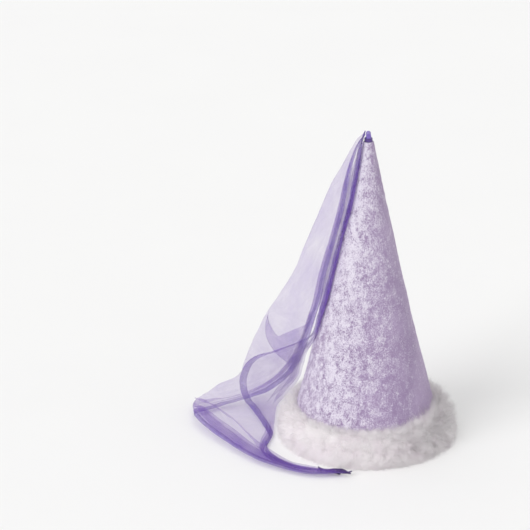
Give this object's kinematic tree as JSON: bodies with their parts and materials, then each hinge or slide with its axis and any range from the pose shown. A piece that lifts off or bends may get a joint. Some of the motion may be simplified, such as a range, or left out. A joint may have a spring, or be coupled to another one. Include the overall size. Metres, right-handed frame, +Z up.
{
  "type": "cone hat",
  "caption": "Tall pointed costume hat in crushed velvet with a fluffy fur trim round the hem and a long sheer veil falling from the tip.",
  "frame": {"origin": "middle of the head opening, on the surface that the hat stands on, on the cone's axis", "axes": "+Z up along the cone to its tip, -Y towards the viewer of the picture, -X towards the side that the veil falls on"},
  "size_m": [0.3393, 0.243, 0.4212],
  "materials": {
    "velvet": "crushed velvet",
    "buckram": "matte",
    "seam_tape": "matte",
    "satin": "satin",
    "wire": "satin",
    "ribbon": "ribbed",
    "violet_thread": "satin",
    "fur_backing": "knitted",
    "fur": "fluffy",
    "white_thread": "satin",
    "organza": "sheer",
    "organza_hem": "sheer, three layers",
    "overlocked_hem": "overlocked"
  },
  "bodies": {
    "hat": {"velvet_cover": "velvet", "cone_stiffener": "buckram", "stiffener_seam_tape": "seam_tape", "satin_lining": "satin", "edge_wire": "wire", "wire_ferrule": "wire", "sweatband": "ribbon", "sweatband_stitches": "violet_thread", "fur_backing": "fur_backing", "fur_pile": "fur", "trim_stitches": "white_thread", "back_seam_stitches": "violet_thread"},
    "veil_tie": {"veil_neck": "organza", "veil_knot": "organza", "neck_binding": "violet_thread", "veil_roll": "organza"},
    "veil": {"veil_panel": "organza", "veil_hem_outer": "organza_hem", "veil_hem_inner": "organza_hem", "veil_end_hem": "overlocked_hem"}
  },
  "joints": [
    {"name": "veil_swing", "type": "hinge", "parent": "hat", "child": "veil_tie", "pos_m": [0, 0, 0.408], "axis": [0, 0, 1], "range_deg": [-90, 90]},
    {"name": "veil_lift", "type": "hinge", "parent": "veil_tie", "child": "veil", "pos_m": [0, 0, 0.418], "axis": [0, 1, 0], "range_deg": [0, 60]}
  ]
}
